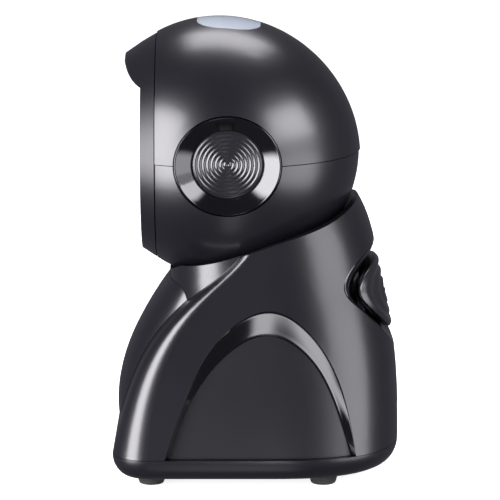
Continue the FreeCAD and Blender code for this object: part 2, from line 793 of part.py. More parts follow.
def base_shell():
    outer = base_outer().cut(box(-90, 90, -90, 90, 0, seam_z + seam_gap))
    ball = Part.makeSphere(ball_radius + cup_gap + cup_wall, about_pivot(0, 0))
    cavity = base_form(base_wall).fuse(neck_form(base_wall)).cut(ball)
    shell = outer.cut(cavity)
    shell = shell.cut(box(-36, 36, -42, 30, 0, 20).common(base_form(base_wall)))
    shell = shell.cut(box(-18.5, 18.5, pivot_y - 9, pivot_y + 9, 50, 75))
    for side in (-1, 1):
        shell = shell.cut(arch_prism(ARCH_OUTER, side))
    shell = shell.cut(rear_oval(dish_half_width, dish_half_height, 20, 60))
    inside = base_form(base_wall - 0.4)
    fittings = yoke_bosses() + switch_ribs()
    fittings += [piece.common(inside) for piece in screw_columns()]
    shell = join([shell] + fittings)
    shell = shell.cut(Part.makeSphere(ball_radius + cup_gap, about_pivot(0, 0)))
    for x, y in yoke_screw_places():
        shell = shell.cut(rod(1.55, V(x, y, yoke_foot_z), V(x, y, yoke_foot_z + 7.5)))
    for x, y in plate_screw_places():
        shell = shell.cut(rod(1.45, V(x, y, seam_z), V(x, y, seam_z + 10)))
    return shell.cut(box(-7.6, 7.6, 40, 60, 13.0, 22.8))


def yoke_bosses():
    """Bosses under the bowl that the yoke's foot plate is screwed up to."""
    top = yoke_foot_z + yoke_foot_thick
    return [rod(3.2, V(x, y, top), V(x, y, 69.0)) for x, y in yoke_screw_places()]


def switch_ribs():
    """Two ribs down from the bowl, with the switch board behind and the guide in front."""
    ribs = []
    for side in (-1, 1):
        near = min(side * 9.5, side * 12.0)
        rib = Part.makeBox(2.5, 34.0, switch_depth - guide_depth, V(near, -26.0, 0))
        rib.Placement = in_button_frame(-switch_depth)
        ribs.append(rib)
    return ribs


def screw_columns():
    """Columns that take the bottom screws, each with a rib to the nearest wall."""
    columns = []
    top = seam_z + 15
    for x, y in plate_screw_places():
        low = seam_z + seam_gap
        columns.append(rod(3.4, V(x, y, low), V(x, y, top)))
        if y < 0:
            columns.append(box(x - 0.8, x + 0.8, -50, y, low, top))
        else:
            near, far = sorted((x, x * 1.6))
            columns.append(box(near, far, y + 1.4, y + 3.0, low, top))
    return columns


def conforming_pad(block, outer_inset, inner_inset):
    """A piece that follows the base's outer form between two depths."""
    skin = base_form(outer_inset).cut(base_form(inner_inset))
    return skin.common(block)


def arch_trim(side):
    """Glossy band round the arch."""
    block = arch_prism(ARCH_OUTER, side).cut(arch_prism(ARCH_INNER, side))
    return conforming_pad(block, 0.9, 3.0).cut(box(-90, 90, -90, 90, 0, seam_z + seam_gap))


def arch_panel(side):
    """Sunk panel inside the arch."""
    return conforming_pad(arch_prism(ARCH_INNER, side), 2.2, 4.0).cut(
        box(-90, 90, -90, 90, 0, seam_z + seam_gap))


def dish_ring():
    """Dished ring round the rear button."""
    block = rear_oval(dish_half_width - 0.1, dish_half_height - 0.1, 20, 60)
    block = block.cut(rear_oval(button_half_width + 0.4, button_half_height + 0.4, 19, 61))
    return conforming_pad(block, 0.5, 4.4)


def rear_button():
    """Push button that follows the back of the base, with its stem."""
    block = rear_oval(button_half_width, button_half_height, 20, 60)
    pad = conforming_pad(block, 0.5, 3.0)
    stem = rod(2.5, button_frame(0, 0, -8.0), button_frame(0, 0, -1.4))
    return join([pad, stem])


def button_spring():
    """Return spring round the button's stem."""
    start = button_frame(0, 0, -7.4)
    end = button_frame(0, 0, -3.6)
    return tube(4.2, 3.0, start, end)


def button_guide():
    """Plate behind the button that guides its stem."""
    plate = Part.makeBox(44.0, 26.0, 2.0, V(-22, -13, 0))
    plate.Placement = in_button_frame(-guide_depth)
    plate = plate.common(base_form(4.6))
    return plate.cut(rod(2.5 + running_fit * 2, button_frame(0, 0, -12), button_frame(0, 0, -5)))


def tact_switch():
    """Switch that the stem presses."""
    body = Part.makeBox(6.0, 6.0, 3.4, V(-3, -3, 0))
    body.Placement = in_button_frame(-switch_depth)
    plunger = rod(1.6, button_frame(0, 0, 3.4 - switch_depth), button_frame(0, 0, -9.3))
    return join([body, plunger])


def switch_board():
    board = Part.makeBox(26.0, 14.0, 1.2, V(-13, -7, 0))
    board.Placement = in_button_frame(-switch_depth - 1.2)
    return board


def front_cover():
    """Bulging cover between the legs."""
    shell = cover_form(0).cut(cover_form(2.2))
    body = base_form(-0.15).fuse(neck_form(-0.15))
    return shell.cut(body)


def plate_section(z, inset):
    station = (z,) + BASE_STATIONS[0][1:]
    return base_section(station, inset)


def bottom_plate():
    """Tray under the base with a rounded lower edge."""
    edge = 6.4
    height = seam_z - plate_floor_z
    wires = []
    for i in range(7):
        angle = math.pi / 2 * i / 6
        wires.append(plate_section(plate_floor_z + height * (1 - math.cos(angle)),
                                   edge * (1 - math.sin(angle))))
    body = Part.makeLoft(wires, True, False)
    hollow_low = plate_section(plate_floor_z + 2.4, edge + 1.0)
    hollow_high = plate_section(seam_z + 1, 2.6)
    hollow = Part.makeLoft([hollow_low, hollow_high], True, True)
    posts = []
    for x, y in plate_screw_places():
        posts.append(rod(4.0, V(x, y, plate_floor_z + 1), V(x, y, seam_z)))
    for x, y in board_post_places():
        posts.append(rod(2.2, V(x, y, plate_floor_z + 1), V(x, y, interface_board_z)))
    solid = join([body.cut(hollow)] + posts)
    for x, y in plate_screw_places():
        solid = solid.cut(rod(1.5, V(x, y, 0), V(x, y, seam_z + 1)))
        solid = solid.cut(rod(2.8, V(x, y, 0), V(x, y, plate_floor_z + 2.0)))
    return solid


def plate_screw_places():
    return [(-31.0, -22.0), (31.0, -22.0), (-25.0, 32.0), (25.0, 32.0)]


def board_post_places():
    """Where the interface board stands on the bottom plate."""
    return [(x, y) for x in (-17.0, 17.0) for y in (8.0, 34.0)]


def foot_places():
    return [(x, y) for x in (-27.0, 27.0) for y in (-34.5, 22.0)]


def rubber_feet():
    feet = []
    for x, y in foot_places():
        feet.append(Part.makeCone(4.2, 5.2, foot_height, V(x, y, 0)))
    return group(feet)


def base_screws():
    screws = []
    for x, y in plate_screw_places():
        screws.append(pan_screw(V(x, y, plate_floor_z + 2.0), V(0, 0, 1), 1.4, 12.0, 2.6, 1.6))
    return group(screws)


def weight_plate():
    """Steel plate that keeps the stand from tipping."""
    low = plate_floor_z + 2.4
    plate = box(-24, 24, -36, 27.5, low, low + 3.0)
    for x, y in board_post_places():
        plate = plate.cut(rod(2.6, V(x, y, 0), V(x, y, 20)))
    return plate


def interface_board():
    return box(-20, 20, 4, 40, interface_board_z, interface_top_z)


def cable_socket():
    """Modular socket for the lead, open to the rear."""
    z = interface_top_z
    body = box(-7.4, 7.4, 26, 42.5, z, z + 10.0)
    mouth = box(-5.9, 5.9, 30, 43, z + 1.0, z + 9.0)
    return body.cut(mouth)


def beeper():
    z = interface_top_z
    can = rod(6.0, V(-13, 14, z), V(-13, 14, z + 8.0))
    return can.cut(rod(1.0, V(-13, 14, z + 6), V(-13, 14, z + 9)))


def interface_chips():
    z = interface_top_z
    return group([
        box(2, 12, 8, 18, z, z + 1.4),
        box(-18, -10, 24, 30, z, z + 2.2),
        box(13, 19, 24, 34, z, z + 5.0),
    ])


def yoke_frame():
    """Steel yoke: a foot plate in the base and two arms up to the tilt axis."""
    foot_z = yoke_foot_z
    plate = box(-24, 24, pivot_y - 12, pivot_y + 12, foot_z, foot_z + yoke_foot_thick)
    arms = []
    for side in (-1, 1):
        low = side * arm_x - arm_thick / 2
        arm = box(low, low + arm_thick, pivot_y - arm_half_width, pivot_y + arm_half_width,
                  foot_z, pivot_z)
        eye = rod(eye_radius, V(low, pivot_y, pivot_z), V(low + arm_thick, pivot_y, pivot_z))
        arms.append(arm)
        arms.append(eye)
    solid = join([plate] + arms)
    solid = solid.cut(rod(pin_radius, V(-30, pivot_y, pivot_z), V(30, pivot_y, pivot_z)))
    for x, y in yoke_screw_places():
        solid = solid.cut(rod(1.6, V(x, y, foot_z - 1), V(x, y, foot_z + 4)))
    return solid


def yoke_screw_places():
    return [(x, pivot_y + y) for x in (-20.5, 20.5) for y in (-8.5, 8.5)]


def pivot_pins():
    pins = []
    for side in (-1, 1):
        inner = side * (arm_x - arm_thick / 2)
        cap = rod(5.0, V(inner - side * 1.8, pivot_y, pivot_z), V(inner, pivot_y, pivot_z))
        shank = rod(pin_radius, V(inner, pivot_y, pivot_z), V(side * 21.6, pivot_y, pivot_z))
        pin = join([cap, shank])
        groove = tube(4.0, 2.2, V(side * 19.9, pivot_y, pivot_z), V(side * 20.7, pivot_y, pivot_z))
        pins.append(pin.cut(groove))
    return group(pins)


def pivot_clips():
    """Retaining clips in the pins' grooves."""
    clips = []
    for side in (-1, 1):
        ring = tube(5.4, 2.2, V(side * 19.9, pivot_y, pivot_z), V(side * 20.7, pivot_y, pivot_z))
        low = min(side * 19.0, side * 22.0)
        gap = box(low, low + 3, pivot_y - 1.6, pivot_y + 1.6, pivot_z - 8, pivot_z)
        clips.append(ring.cut(gap))
    return group(clips)


def friction_washers():
    washers = []
    for side in (-1, 1):
        start = V(side * (arm_x + arm_thick / 2), pivot_y, pivot_z)
        end = V(side * (17.2 - 0.1), pivot_y, pivot_z)
        washers.append(tube(6.5, pin_radius, start, end))
    return group(washers)


def yoke_screws():
    screws = []
    for x, y in yoke_screw_places():
        screws.append(pan_screw(V(x, y, yoke_foot_z), V(0, 0, 1), 1.5, 6.0, 2.8, 1.6))
    return group(screws)


def main():
    save(head_upper_shell(), "head_upper_shell")
    save(head_lower_shell(), "head_lower_shell")
    save(front_bezel(), "front_bezel")
    save(scan_window(), "scan_window")
    save(window_gasket(), "window_gasket")
    for side, word in ((-1, "left"), (1, "right")):
        save(trim_ring(side), "trim_ring_" + word)
        save(ripple_disc(side), "ripple_disc_" + word)
        save(arch_trim(side), "arch_trim_" + word)
        save(arch_panel(side), "arch_panel_" + word)
    save(status_lens(), "status_lens")
    board, lights = status_board()
    save(board, "status_board")
    save(lights, "status_lights")
    save(pivot_brackets(), "pivot_brackets")
    save(pivot_bushes(), "pivot_bushes")
    save(optics_tray(), "optics_tray")
    save(motor_board(), "motor_board")
    save(motor_stator(), "motor_stator")
    save(motor_rotor(), "motor_rotor")
    save(mirror_wheel(), "mirror_wheel")
    save(pattern_mirrors(), "pattern_mirrors")
    save(mirror_frame(), "mirror_frame")
    save(collecting_mirror(), "collecting_mirror")
    save(laser_holder(), "laser_holder")
    save(laser_module(), "laser_module")
    save(detector_board(), "detector_board")
    save(photodiode(), "photodiode")
    save(decoder_board(), "decoder_board")
    save(decoder_chips(), "decoder_chips")
    save(head_screws(), "head_screws")
    save(base_shell(), "base_shell")
    save(front_cover(), "front_cover")
    save(dish_ring(), "dish_ring")
    save(rear_button(), "rear_button")
    save(button_spring(), "button_spring")
    save(button_guide(), "button_guide")
    save(tact_switch(), "tact_switch")
    save(switch_board(), "switch_board")
    save(bottom_plate(), "bottom_plate")
    save(rubber_feet(), "rubber_feet")
    save(base_screws(), "base_screws")
    save(weight_plate(), "weight_plate")
    save(interface_board(), "interface_board")
    save(interface_chips(), "interface_chips")
    save(cable_socket(), "cable_socket")
    save(beeper(), "beeper")
    save(yoke_frame(), "yoke_frame")
    save(pivot_pins(), "pivot_pins")
    save(pivot_clips(), "pivot_clips")
    save(friction_washers(), "friction_washers")
    save(yoke_screws(), "yoke_screws")


main()
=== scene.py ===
import json
import math

import bmesh
import bpy
import numpy as np
from mathutils import Matrix, Vector
from mathutils.bvhtree import BVHTree


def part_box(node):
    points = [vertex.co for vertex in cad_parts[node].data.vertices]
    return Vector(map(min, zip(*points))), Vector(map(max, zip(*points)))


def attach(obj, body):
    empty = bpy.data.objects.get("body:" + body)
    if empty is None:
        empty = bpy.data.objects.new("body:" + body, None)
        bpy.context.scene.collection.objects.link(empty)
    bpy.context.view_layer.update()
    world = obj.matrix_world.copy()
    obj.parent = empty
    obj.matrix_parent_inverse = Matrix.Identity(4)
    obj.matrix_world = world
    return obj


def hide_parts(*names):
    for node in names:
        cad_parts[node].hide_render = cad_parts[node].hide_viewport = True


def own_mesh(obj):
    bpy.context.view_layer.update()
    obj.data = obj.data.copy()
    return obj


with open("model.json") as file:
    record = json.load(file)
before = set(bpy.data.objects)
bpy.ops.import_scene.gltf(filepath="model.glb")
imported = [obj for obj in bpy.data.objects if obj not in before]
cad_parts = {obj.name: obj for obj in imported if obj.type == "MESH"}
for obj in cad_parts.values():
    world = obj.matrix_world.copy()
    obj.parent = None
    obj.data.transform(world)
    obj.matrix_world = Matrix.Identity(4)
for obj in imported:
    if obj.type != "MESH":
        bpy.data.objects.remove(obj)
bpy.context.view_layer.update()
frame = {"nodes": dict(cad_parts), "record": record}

MM = 0.001
UPRIGHT = Matrix.Rotation(math.radians(90), 4, "X")     # turns a flat ring to face along Y


# ------------------------------------------------------------------ shader helpers
def node(tree, kind, values=None, **settings):
    """A shader node; a value that is a socket is linked, any other is set."""
    made = tree.nodes.new("ShaderNode" + kind)
    for key, value in settings.items():
        setattr(made, key, value)
    for key, value in (values or {}).items():
        if isinstance(value, bpy.types.NodeSocket):
            tree.links.new(value, made.inputs[key])
        else:
            made.inputs[key].default_value = value
    return made


def math_node(tree, operation, a, b=0.0):
    """One sum; a and b may be sockets or numbers."""
    return node(tree, "Math", {0: a, 1: b}, operation=operation).outputs[0]


def ramp(tree, value, low, high, to_low=0.0, to_high=1.0):
    """Spread low to high over the new range, held at its ends."""
    spread = node(tree, "MapRange", {"Value": value, "From Min": low, "From Max": high,
                                     "To Min": to_low, "To Max": to_high})
    return spread.outputs["Result"]


def mix_colour(tree, factor, a, b):
    return node(tree, "Mix", {0: factor, 6: a, 7: b}, data_type="RGBA").outputs[2]


def object_point(tree, stretch=(1, 1, 1), turn=(0, 0, 0)):
    """Place on the piece, stretched and turned."""
    place = node(tree, "TexCoord").outputs["Object"]
    return node(tree, "Mapping", {"Vector": place, "Scale": stretch, "Rotation": turn}).outputs[0]


def noise(tree, vector, scale, detail=2.0, rough=0.5):
    made = node(tree, "TexNoise", {"Vector": vector, "Scale": scale, "Detail": detail,
                                   "Roughness": rough})
    return made.outputs[0]


def effect(name, inputs, outputs):
    """An empty node group with its sockets; gives the tree, its input and output nodes."""
    tree = bpy.data.node_groups.new(name, "ShaderNodeTree")
    for label, value in inputs:
        kind = "NodeSocketColor" if isinstance(value, tuple) else "NodeSocketFloat"
        socket = tree.interface.new_socket(name=label, in_out="INPUT", socket_type=kind)
        socket.default_value = value
    for label, kind in outputs:
        tree.interface.new_socket(name=label, in_out="OUTPUT", socket_type="NodeSocket" + kind)
    entry = tree.nodes.new("NodeGroupInput").outputs
    leave = tree.nodes.new("NodeGroupOutput").inputs
    return tree, entry, leave


def make_moulded_skin():
    """Fine eroded grain, a slow drift of tone and gloss, as on a moulded shell."""
    tree, entry, leave = effect("moulded_skin", [
        ("Colour", (0.5, 0.5, 0.5, 1)), ("Drift Colour", (0.5, 0.5, 0.5, 1)),
        ("Grain Size", 2400.0), ("Grain Height", 5e-6), ("Roughness", 0.3), ("Gloss Drift", 0.08),
    ], [("Colour", "Color"), ("Roughness", "Float"), ("Normal", "Vector")])
    place = object_point(tree)
    fine = noise(tree, place, entry["Grain Size"], 2.0, 0.6)
    coarse = noise(tree, place, math_node(tree, "MULTIPLY", entry["Grain Size"], 0.31), 1.0)
    summed = math_node(tree, "ADD", math_node(tree, "MULTIPLY", fine, 0.7),
                       math_node(tree, "MULTIPLY", coarse, 0.3))
    bump = node(tree, "Bump", {"Strength": 1.0, "Distance": entry["Grain Height"],
                               "Height": summed})
    tree.links.new(bump.outputs["Normal"], leave["Normal"])
    drift = ramp(tree, noise(tree, place, 34.0, 4.0), 0.35, 0.65)
    shade = mix_colour(tree, drift, entry["Colour"], entry["Drift Colour"])
    speck = ramp(tree, noise(tree, place, 900.0, 1.0), 0.62, 0.8, 0.0, 0.25)
    shade = mix_colour(tree, speck, shade, entry["Drift Colour"])
    tree.links.new(shade, leave["Colour"])
    smudge = ramp(tree, noise(tree, place, 21.0, 5.0, 0.65), 0.3, 0.7, -0.5, 0.5)
    change = math_node(tree, "MULTIPLY", smudge, entry["Gloss Drift"])
    tree.links.new(math_node(tree, "ADD", entry["Roughness"], change), leave["Roughness"])
    return tree


def make_handling_marks():
    """Mask of fine hairlines in two directions, from handling and wiping."""
    tree, entry, leave = effect("handling_marks", [("Amount", 1.0)], [("Mask", "Float")])
    marks = []
    for turn, size in (((0.3, 0.9, 0.5), 1.0), ((1.2, 0.2, 1.9), 1.3)):
        place = object_point(tree, (2600 * size, 2600 * size, 60), turn)
        lines = ramp(tree, noise(tree, place, 1.0, 1.0), 0.69, 0.76)
        patches = ramp(tree, noise(tree, object_point(tree), 55.0 * size, 2.0), 0.52, 0.66)
        marks.append(math_node(tree, "MULTIPLY", lines, patches))
    both = math_node(tree, "MAXIMUM", marks[0], marks[1])
    tree.links.new(math_node(tree, "MULTIPLY", both, entry["Amount"]), leave["Mask"])
    return tree


def make_settled_dust():
    """Mask of thin dust on what faces up, thicker in patches."""
    tree, entry, leave = effect("settled_dust", [("Amount", 1.0)], [("Mask", "Float")])
    up = node(tree, "SeparateXYZ", {0: node(tree, "NewGeometry").outputs["Normal"]}).outputs[2]
    facing = ramp(tree, up, 0.55, 1.0)
    cloud = ramp(tree, noise(tree, object_point(tree), 120.0, 6.0, 0.7), 0.4, 0.75)
    grit = ramp(tree, noise(tree, object_point(tree), 2100.0, 1.0), 0.6, 0.72, 0.35, 1.0)
    mask = math_node(tree, "MULTIPLY", math_node(tree, "MULTIPLY", facing, cloud), grit)
    tree.links.new(math_node(tree, "MULTIPLY", mask, entry["Amount"]), leave["Mask"])
    return tree


def make_brushed_metal():
    """Drawn or rolled metal: fine lines one way, with a faint tarnish."""
    tree, entry, leave = effect("brushed_metal", [
        ("Colour", (0.6, 0.6, 0.6, 1)), ("Tarnish", (0.4, 0.38, 0.35, 1)),
        ("Roughness", 0.3), ("Line Height", 3e-6),
    ], [("Colour", "Color"), ("Roughness", "Float"), ("Normal", "Vector")])
    lines = noise(tree, object_point(tree, (220, 5200, 5200)), 1.0, 3.0, 0.6)
    bump = node(tree, "Bump", {"Strength": 1.0, "Distance": entry["Line Height"], "Height": lines})
    tree.links.new(bump.outputs["Normal"], leave["Normal"])
    patch = ramp(tree, noise(tree, object_point(tree), 160.0, 4.0), 0.45, 0.75)
    tree.links.new(mix_colour(tree, patch, entry["Colour"], entry["Tarnish"]), leave["Colour"])
    change = ramp(tree, lines, 0.3, 0.7, -0.07, 0.07)
    tree.links.new(math_node(tree, "ADD", entry["Roughness"], change), leave["Roughness"])
    return tree


def make_board_tracks():
    """Masks of the copper tracks under a board's solder mask, and of its pads."""
    tree, entry, leave = effect("board_tracks", [("Track Size", 420.0)],
                                [("Tracks", "Float"), ("Pads", "Float")])
    place = object_point(tree)
    for label, distance, low, high in (("Tracks", "MANHATTAN", 0.42, 0.5),
                                       ("Pads", "CHEBYCHEV", 0.13, 0.1)):
        cells = node(tree, "TexVoronoi", {"Vector": place, "Scale": entry["Track Size"]},
                     distance=distance, feature="F1")
        tree.links.new(ramp(tree, cells.outputs["Distance"], low, high), leave[label])
    return tree


SKIN = make_moulded_skin()
MARKS = make_handling_marks()
DUST = make_settled_dust()
BRUSHED = make_brushed_metal()
TRACKS = make_board_tracks()


def use(tree, group, values):
    """A shared effect in a material; gives its outputs."""
    made = tree.nodes.new("ShaderNodeGroup")
    made.node_tree = group
    for key, value in values.items():
        made.inputs[key].default_value = value
    return made.outputs


def new_material(name, values):
    """A material with one Principled shader, its fixed values set on its own sockets."""
    material = bpy.data.materials.new(name)
    material.use_nodes = True
    shader = material.node_tree.nodes["Principled BSDF"]
    for key, value in values.items():
        shader.inputs[key].default_value = value
    return material, material.node_tree, shader


def link_finish(tree, shader, finish):
    """Join an effect's colour, roughness and normal to the shader."""
    for label, socket in (("Colour", "Base Color"), ("Roughness", "Roughness"),
                          ("Normal", "Normal")):
        tree.links.new(finish[label], shader.inputs[socket])


DUST_COLOUR = (0.16, 0.155, 0.15, 1)


def plastic(name, colour, drift, roughness, grain=2400.0, height=5e-6, gloss_drift=0.08,
            dust=0.25, marks=0.5, fixed=None):
    """Moulded plastic or rubber with grain, hairlines and settled dust."""
    material, tree, shader = new_material(name, fixed or {})
    skin = use(tree, SKIN, {"Colour": (*colour, 1), "Drift Colour": (*drift, 1),
                            "Grain Size": grain, "Grain Height": height,
                            "Roughness": roughness, "Gloss Drift": gloss_drift})
    dusty = use(tree, DUST, {"Amount": dust})["Mask"]
    lines = use(tree, MARKS, {"Amount": marks})["Mask"]
    shade = mix_colour(tree, dusty, skin["Colour"], DUST_COLOUR)
    rough = math_node(tree, "ADD", skin["Roughness"], math_node(tree, "MULTIPLY", dusty, 0.35))
    rough = math_node(tree, "ADD", rough, math_node(tree, "MULTIPLY", lines, 0.18))
    tree.links.new(shade, shader.inputs["Base Color"])
    tree.links.new(rough, shader.inputs["Roughness"])
    tree.links.new(skin["Normal"], shader.inputs["Normal"])
    return material


def metal(name, colour, tarnish, roughness, line_height=3e-6):
    """Drawn, rolled or turned metal."""
    material, tree, shader = new_material(name, {"Metallic": 1.0})
    drawn = use(tree, BRUSHED, {"Colour": (*colour, 1), "Tarnish": (*tarnish, 1),
                                "Roughness": roughness, "Line Height": line_height})
    link_finish(tree, shader, drawn)
    return material


def board(name):
    """Green solder mask with tracks that stand up a little and tinned pads."""
    material, tree, shader = new_material(name, {})
    over_track, tinned = (0.018, 0.17, 0.055, 1), (0.55, 0.53, 0.48, 1)
    tracks = use(tree, TRACKS, {"Track Size": 420.0})
    skin = use(tree, SKIN, {"Colour": (0.006, 0.085, 0.03, 1),
                            "Drift Colour": (0.01, 0.11, 0.04, 1),
                            "Grain Size": 1800.0, "Grain Height": 2e-6, "Roughness": 0.28})
    shade = mix_colour(tree, tracks["Tracks"], skin["Colour"], over_track)
    shade = mix_colour(tree, tracks["Pads"], shade, tinned)
    tree.links.new(shade, shader.inputs["Base Color"])
    tree.links.new(skin["Roughness"], shader.inputs["Roughness"])
    raised = node(tree, "Bump", {"Strength": 1.0, "Distance": 3e-5, "Height": tracks["Tracks"]})
    tree.links.new(raised.outputs["Normal"], shader.inputs["Normal"])
    return material


def tinted_window(name):
    """Deep red acrylic, polished, with a few wipe marks."""
    material, tree, shader = new_material(name, {
        "Transmission Weight": 1.0, "IOR": 1.49, "Coat Weight": 0.3, "Coat Roughness": 0.02})
    lines = use(tree, MARKS, {"Amount": 1.0})["Mask"]
    film = noise(tree, object_point(tree), 45.0, 4.0)
    rough = math_node(tree, "ADD", ramp(tree, film, 0.4, 0.7, 0.015, 0.05),
                      math_node(tree, "MULTIPLY", lines, 0.12))
    shade = mix_colour(tree, ramp(tree, film, 0.3, 0.7), (0.30, 0.012, 0.016, 1),
                       (0.24, 0.009, 0.012, 1))
    tree.links.new(shade, shader.inputs["Base Color"])
    tree.links.new(rough, shader.inputs["Roughness"])
    return material


def status_diffuser(name):
    """Milky clear bar that spreads the status lights."""
    material, tree, shader = new_material(name, {
        "Transmission Weight": 0.25, "IOR": 1.49, "Coat Weight": 0.4, "Coat Roughness": 0.06})
    skin = use(tree, SKIN, {"Colour": (0.50, 0.56, 0.64, 1), "Drift Colour": (0.60, 0.66, 0.73, 1),
                            "Grain Size": 1500.0, "Grain Height": 2e-6, "Roughness": 0.2})
    link_finish(tree, shader, skin)
    return material


def front_silvered(name):
    """Bright mirror coating with a thin uneven film."""
    material, tree, shader = new_material(name, {"Metallic": 1.0})
    film = noise(tree, object_point(tree), 90.0, 4.0)
    tree.links.new(ramp(tree, film, 0.4, 0.7, 0.02, 0.07), shader.inputs["Roughness"])
    shade = mix_colour(tree, ramp(tree, film, 0.3, 0.7), (0.90, 0.91, 0.92, 1),
                       (0.84, 0.86, 0.88, 1))
    tree.links.new(shade, shader.inputs["Base Color"])
    return material


FINISHES = {
    "shell_black": plastic(
        "satin_black_shell", (0.0046, 0.0042, 0.0066), (0.0062, 0.0057, 0.0085), 0.31,
        height=4e-6, gloss_drift=0.05, dust=0.06, marks=0.35,
        fixed={"Specular IOR Level": 0.62, "Coat Weight": 0.22, "Coat Roughness": 0.16}),
    "trim_gloss": plastic(
        "polished_black_trim", (0.0015, 0.0014, 0.0021), (0.0022, 0.0021, 0.003), 0.1,
        height=6e-7, gloss_drift=0.03, dust=0.05, marks=0.5,
        fixed={"Specular IOR Level": 0.6, "Coat Weight": 0.15, "Coat Roughness": 0.03}),
    "panel_black": plastic(
        "fine_grain_black_panel", (0.0036, 0.0034, 0.0050), (0.0050, 0.0047, 0.0066), 0.42,
        grain=1700.0, height=1.4e-5, dust=0.08, marks=0.4),
    "ripple_black": plastic(
        "rippled_black", (0.010, 0.010, 0.0125), (0.0135, 0.0135, 0.0165), 0.24,
        height=2e-6, gloss_drift=0.05, dust=0.08, marks=0.3,
        fixed={"Specular IOR Level": 0.6, "Coat Weight": 0.2, "Coat Roughness": 0.1}),
    "window_glass": tinted_window("red_window"),
    "lens_clear": status_diffuser("milky_lens"),
    "rubber_black": plastic(
        "soft_black_rubber", (0.022, 0.021, 0.021), (0.034, 0.032, 0.031), 0.72,
        grain=1300.0, height=2.4e-5, dust=0.3, marks=0.2),
    "steel": metal("zinc_plated_steel", (0.56, 0.57, 0.58), (0.47, 0.46, 0.43), 0.33),
    "spring_steel": metal("spring_wire", (0.48, 0.48, 0.50), (0.36, 0.34, 0.32), 0.27),
    "brass": metal("turned_brass", (0.72, 0.52, 0.22), (0.50, 0.34, 0.14), 0.3),
    "mirror": front_silvered("front_silvered_glass"),
    "chassis_grey": plastic(
        "glass_filled_grey", (0.075, 0.077, 0.08), (0.105, 0.107, 0.11), 0.5,
        grain=1200.0, height=1.6e-5, dust=0.15, marks=0.3),
    "board_green": board("green_board"),
    "chip_black": plastic(
        "moulded_chip", (0.018, 0.018, 0.019), (0.03, 0.03, 0.031), 0.55,
        grain=3200.0, height=8e-6, dust=0.12, marks=0.1),
    "led_white": plastic(
        "white_light_body", (0.78, 0.76, 0.66), (0.86, 0.85, 0.78), 0.35,
        height=2e-6, dust=0.05, marks=0.1),
    "motor_metal": metal("motor_can", (0.62, 0.62, 0.60), (0.50, 0.49, 0.46), 0.24, 5e-6),
    "socket_cream": plastic(
        "cream_socket", (0.62, 0.58, 0.47), (0.70, 0.66, 0.56), 0.4,
        height=4e-6, dust=0.1, marks=0.2),
    "bush_white": plastic(
        "acetal_bush", (0.72, 0.72, 0.70), (0.80, 0.80, 0.78), 0.38,
        height=3e-6, dust=0.05, marks=0.2),
}

SLOT_OF = {row["node"]: row["material_slot"] for row in frame["record"]["subparts"]}
for name, carried in frame["nodes"].items():
    carried.data.materials.clear()
    carried.data.materials.append(FINISHES[SLOT_OF[name]])


# ------------------------------------------------------------------ mesh helpers
def finish_piece(name, bm, body, slot, replaced=(), smooth_angle=40.0):
    """Turn a bmesh drawn in place into a piece of the object."""
    bmesh.ops.remove_doubles(bm, verts=bm.verts, dist=1e-6)
    bmesh.ops.recalc_face_normals(bm, faces=bm.faces)
    mesh = bpy.data.meshes.new(name)
    bm.to_mesh(mesh)
    bm.free()
    piece = bpy.data.objects.new(name, mesh)
    bpy.context.scene.collection.objects.link(piece)
    mesh.shade_smooth()
    mesh.set_sharp_from_angle(angle=math.radians(smooth_angle))
    mesh.materials.append(FINISHES[slot])
    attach(piece, body)
    if replaced:
        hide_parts(*replaced)
    return piece


def middle(name):
    """Middle and half size of a carried node."""
    low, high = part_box(name)
    return (low + high) / 2, (high - low) / 2


def wire_loop(bm, points, closed=False):
    """A run of edges through a few points."""
    verts = [bm.verts.new(p) for p in points]
    pairs = list(zip(verts, verts[1:]))
    if closed:
        pairs.append((verts[-1], verts[0]))
    return verts, [bm.edges.new(pair) for pair in pairs]


def turned(bm, profile, steps, axis, start_direction):
    """Turn a closed profile of (radius, along) points in mm about an axis through the origin."""
    points = [start_direction * (r * MM) + axis * (a * MM) for r, a in profile]
    verts, edges = wire_loop(bm, points, closed=True)
    bmesh.ops.spin(bm, geom=verts + edges, cent=(0, 0, 0), axis=axis, angle=2 * math.pi,
                   steps=steps, use_merge=True, use_duplicate=False)
    bmesh.ops.remove_doubles(bm, verts=bm.verts, dist=1e-7)
    bmesh.ops.dissolve_degenerate(bm, edges=bm.edges, dist=1e-8)


def arc(centre, radius, start, end, count):
    """Points of a profile on an arc, its angles in degrees."""
    out = []
    for i in range(count + 1):
        angle = math.radians(start + (end - start) * i / count)
        out.append((centre[0] + radius * math.cos(angle), centre[1] + radius * math.sin(angle)))
    return out


# ------------------------------------------------------------------ side discs, sizes in mm
DISC_RIDGES = 8
RIDGE_STEPS = 10            # points along one ridge
RIDGE_HEIGHT = 0.33
VALLEY_DEPTH = 0.45         # under the CAD disc's face
DISC_GAP = 0.16             # between the disc and its ring
LIP_RADIUS = 0.45
RING_DEPTH = 3.0            # from the lip to the bottom of the dish


def face_and_back(name, side):
    """How far out a side piece's face and its back are, in mm."""
    low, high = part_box(name)
    near, far = sorted((abs(low.x) / MM, abs(high.x) / MM))
    return far, near


